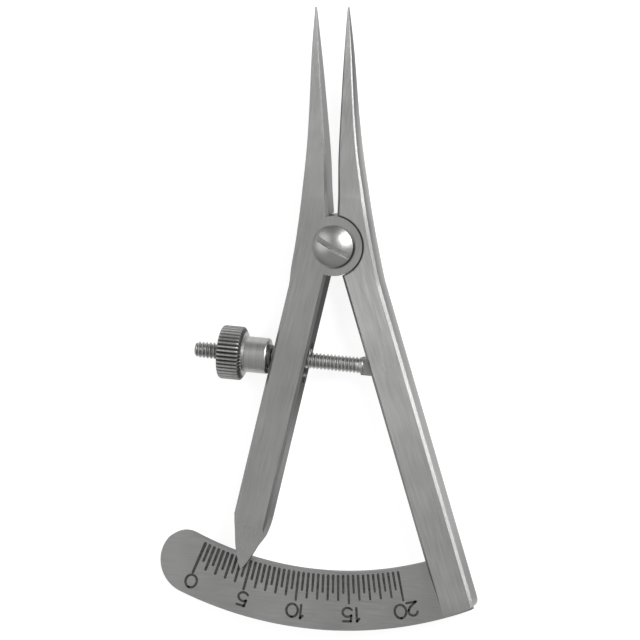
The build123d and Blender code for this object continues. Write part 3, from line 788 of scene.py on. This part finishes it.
# %% The scale's numbers
CORNER_STEP = 0.05      # of the figure's height
NUMBER_LINE = 0.35      # mm


def arc(cx, cy, rx, ry, start, end, count=14):
    """Points (cx + rx cos a, cy + ry sin a) for angles a from start to end, in degrees."""
    a = np.radians(np.linspace(start, end, count))
    return np.column_stack([cx + rx * np.cos(a), cy + ry * np.sin(a)])


def corners(*points):
    """Straight runs between corner points, with a point every twentieth of the figure's height."""
    points = np.array(points, float)
    run = np.concatenate([[0], np.cumsum(np.linalg.norm(np.diff(points, axis=0), axis=1))])
    at = np.linspace(0, run[-1], max(2, int(run[-1] / CORNER_STEP)))
    at = np.unique(np.concatenate([at, run]))
    return np.column_stack([np.interp(at, run, points[:, 0]), np.interp(at, run, points[:, 1])])


FIGURES = {
    "0": [arc(0, 0, 0.5, 0.5, 90, 450, 41)],
    "1": [corners((-0.26, 0.30), (0.0, 0.5)), corners((0.0, 0.5), (0.0, -0.5))],
    "2": [arc(0.0, 0.18, 0.42, 0.32, 165, -25), corners((0.38, 0.04), (0.2, -0.18), (-0.42, -0.5)),
          corners((-0.42, -0.5), (0.46, -0.5))],
    "5": [corners((0.40, 0.5), (-0.28, 0.5)), corners((-0.28, 0.5), (-0.34, 0.06)),
          np.concatenate([[(-0.34, 0.06)], arc(-0.02, -0.17, 0.44, 0.33, 118, -145, 24)])],
}
NUMBER_PLACES = [      # figure, angle from -Y, radius, width and height in mm
    ("0", -20.72, 52.85, 1.6, 1.85), ("5", -12.24, 52.55, 1.6, 1.9), ("0", -4.27, 52.55, 1.65, 1.85),
    ("1", -2.92, 52.57, 1.3, 1.9), ("5", 4.48, 52.55, 1.65, 1.9), ("1", 5.93, 52.59, 1.3, 1.9),
    ("0", 12.86, 52.65, 1.65, 1.9), ("2", 14.83, 52.57, 1.55, 1.9),
]


def figure(text, angle, radius, width, height):
    """Strokes of one figure centred at an angle from -Y and a radius, its top away from the pivot."""
    a = np.radians(angle)
    out = np.array([np.sin(a), -np.cos(a)])
    right = np.array([out[1], -out[0]])
    centre = out * radius
    paths = [centre + path[:, 1:2] * height * out + path[:, 0:1] * width * right for path in FIGURES[text]]
    return [stroke(path, NUMBER_LINE, NUMBER_LINE) for path in paths]


numbers = raised_strokes("scale_numbers", [line for place in NUMBER_PLACES for line in figure(*place)])
print("scale_numbers:", len(numbers.data.polygons), "faces")

# %% [markdown]
# The black in the marks is a hard wax or lacquer wiped into the cuts. It is dark grey rather than black,
# a little glossy, and thinner in places, so its tone varies along each mark.

# %% Filled engraving
FILL_PATCH_MM, FILL_RELIEF_MM = 0.35, 0.01
FILL_THIN, FILL_ROUGHNESS = (0.35, 0.7), (0.4, 0.6)


def engraving_fill():
    """Lacquer with one noise for its colour, its gloss and its relief."""
    material, tree = new_material("black lacquer in the engraved marks")
    coords = add(tree, "ShaderNodeTexCoord").outputs["Object"]
    noise = add(tree, "ShaderNodeTexNoise", {"Vector": coords, "Scale": 1 / (FILL_PATCH_MM * MM),
                                             "Detail": 3.0, "Roughness": 0.6}).outputs["Fac"]
    thin = share(tree, (noise, *FILL_THIN))
    colour = add(tree, "ShaderNodeMix", {"Factor": thin, 6: linear("1C1C1C"), 7: linear("424242")},
                 data_type="RGBA").outputs[2]
    rough = add(tree, "ShaderNodeMapRange", {"Value": noise, "To Min": FILL_ROUGHNESS[0],
                                             "To Max": FILL_ROUGHNESS[1]}).outputs[0]
    relief = add(tree, "ShaderNodeBump", {"Height": noise, "Strength": 0.3,
                                          "Distance": FILL_RELIEF_MM * MM}).outputs[0]
    shader = add(tree, "ShaderNodeBsdfPrincipled",
                 {"Base Color": colour, "Roughness": rough, "Normal": relief})
    add(tree, "ShaderNodeOutputMaterial", {"Surface": shader.outputs[0]})
    return material


black_fill = engraving_fill()
for piece in (marks, numbers):
    dress(piece, black_fill)
    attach(piece, "scale_body")
print("black lacquer on the marks and the numbers")

# %% [markdown]
# The camera looks down from above and a little to the right and ahead, with a long lens far away, as for a
# catalogue picture. Its axes are written out as three unit vectors.

# %% Camera
LENS_MM, SENSOR_MM = 1000, 36
CAMERA_DISTANCE = 2.497      # metres
right = Vector((0.97317, 0.04828, -0.22495))
up = Vector((-0.07656, 0.98997, -0.118747))
back = Vector((0.21696, 0.13278, 0.96711))
aim = Vector((-1.337, -10.573, LEG_T)) * MM

camera_data = bpy.data.cameras.new("camera")
camera_data.lens = LENS_MM
camera_data.sensor_width = SENSOR_MM
camera_data.clip_start = 0.01
camera_data.clip_end = 10
camera = link_new("camera", camera_data)
bpy.context.scene.camera = camera
camera_place = aim + back.normalized() * CAMERA_DISTANCE
camera.matrix_world = Matrix.Translation(camera_place) @ Matrix((right, up, back)).transposed().to_4x4()
print("camera at", [round(v, 4) for v in camera_place])

# %% [markdown]
# Light. A catalogue shot of shiny steel is mostly about what the steel reflects. The room here is a gradient,
# an even grey overhead, which gives the faces their mid grey, and darker near the horizon, which gives round
# shapes a dark band beside their edge. It is dimmer on the side that the points look to than on the scale's.

# %% The room
SKY = [(0.02, 0.22), (0.15, 0.24), (0.32, 0.42), (0.9, 0.42)]      # (sine of the height, grey)
ROOM_END_Y = 0.7                          # part of the direction's Y where the change along Y ends
SCALE_SIDE, POINT_SIDE = 1.2, 0.65        # strength on the scale's side and on the points' side

world = bpy.data.worlds.new("studio")
scene.world = world
world.use_nodes = True
room = world.node_tree
room.nodes.clear()
direction = add(room, "ShaderNodeTexCoord").outputs["Generated"]
direction = add(room, "ShaderNodeSeparateXYZ", {0: direction}).outputs
sky = add(room, "ShaderNodeValToRGB", {"Fac": direction["Z"]})
stops = sky.color_ramp.elements
while len(stops) < len(SKY):
    stops.new(0.5)
for stop, (height, grey) in zip(stops, SKY):
    stop.position = height
    stop.color = (grey, grey, grey, 1.0)
strength = add(room, "ShaderNodeMapRange", {"Value": direction["Y"], "From Min": -ROOM_END_Y,
                                            "From Max": ROOM_END_Y, "To Min": SCALE_SIDE,
                                            "To Max": POINT_SIDE}).outputs[0]
background = add(room, "ShaderNodeBackground", {"Color": sky.outputs["Color"], "Strength": strength})
add(room, "ShaderNodeOutputWorld", {"Surface": background.outputs[0]})
print("room:", len(SKY), "greys from the horizon up")

# %% [markdown]
# Three soft boxes do the rest. The key is large and dim, and stands at the upper right of the view: it makes
# the round light on the screw without burning out the flat faces. A wide fill lifts the left walls, and a low
# strip far to the right runs as a bright line along the outer bevel of the scale leg.

# %% Lamps
def softbox(name, towards, distance, width, height, watts):
    """Area lamp at a distance in metres from the middle of the object, facing it."""
    data = bpy.data.lights.new(name, "AREA")
    data.shape = "RECTANGLE"
    data.size = width
    data.size_y = height
    data.energy = watts
    lamp = link_new(name, data)
    towards = Vector(towards).normalized()
    lamp.location = aim + towards * distance
    lamp.rotation_euler = (-towards).to_track_quat("-Z", "Y").to_euler()
    print(name, "at", [round(v, 3) for v in lamp.location], "with", watts, "W")


key_direction = right * 0.47 + up * 0.31 + back * 0.826
softbox("key soft box", key_direction, distance=0.3, width=0.14, height=0.16, watts=1.05)
softbox("fill soft box", (-0.70, 0.15, 0.68), distance=0.28, width=0.30, height=0.24, watts=0.25)
softbox("edge strip", (0.955, 0.168, 0.242), distance=0.6, width=0.32, height=0.11, watts=0.5)

# %% [markdown]
# The floor is a white sweep under the tool. The camera sees it white, and so do reflections, while it still
# takes the tool's faint shadow. It lies just under the lowest point, which is the rim of the nut.

# %% Floor
FLOOR_GAP = 0.0001      # metres between the nut's rim and the floor
PAPER_GREY, PAPER_GLOW = 0.3, 0.85

reach, z = 2.0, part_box("thumb_nut")[0].z - FLOOR_GAP
floor_mesh = bpy.data.meshes.new("floor")
floor_mesh.from_pydata([(-reach, -reach, z), (reach, -reach, z), (reach, reach, z), (-reach, reach, z)],
                       [], [(0, 1, 2, 3)])
floor = link_new("floor", floor_mesh)
paper, tree = new_material("white paper sweep")
path = add(tree, "ShaderNodeLightPath").outputs
seen = add(tree, "ShaderNodeMath", {0: path["Is Camera Ray"], 1: path["Is Glossy Ray"]}, operation="MAXIMUM")
seen = add(tree, "ShaderNodeMath", {0: seen.outputs[0], 1: path["Is Transmission Ray"]}, operation="MAXIMUM")
sheet = add(tree, "ShaderNodeBsdfDiffuse", {"Color": (PAPER_GREY, PAPER_GREY, PAPER_GREY, 1)}).outputs[0]
glow = add(tree, "ShaderNodeEmission", {"Color": (1, 1, 1, 1), "Strength": PAPER_GLOW}).outputs[0]
lit_sheet = add(tree, "ShaderNodeAddShader", {0: sheet, 1: glow}).outputs[0]
chosen = add(tree, "ShaderNodeMixShader", {0: seen.outputs[0], 1: sheet, 2: lit_sheet}).outputs[0]
add(tree, "ShaderNodeOutputMaterial", {"Surface": chosen})
dress(floor, paper)
scene.view_settings.view_transform = "Standard"
print("floor at", round(z / MM, 2), "mm")
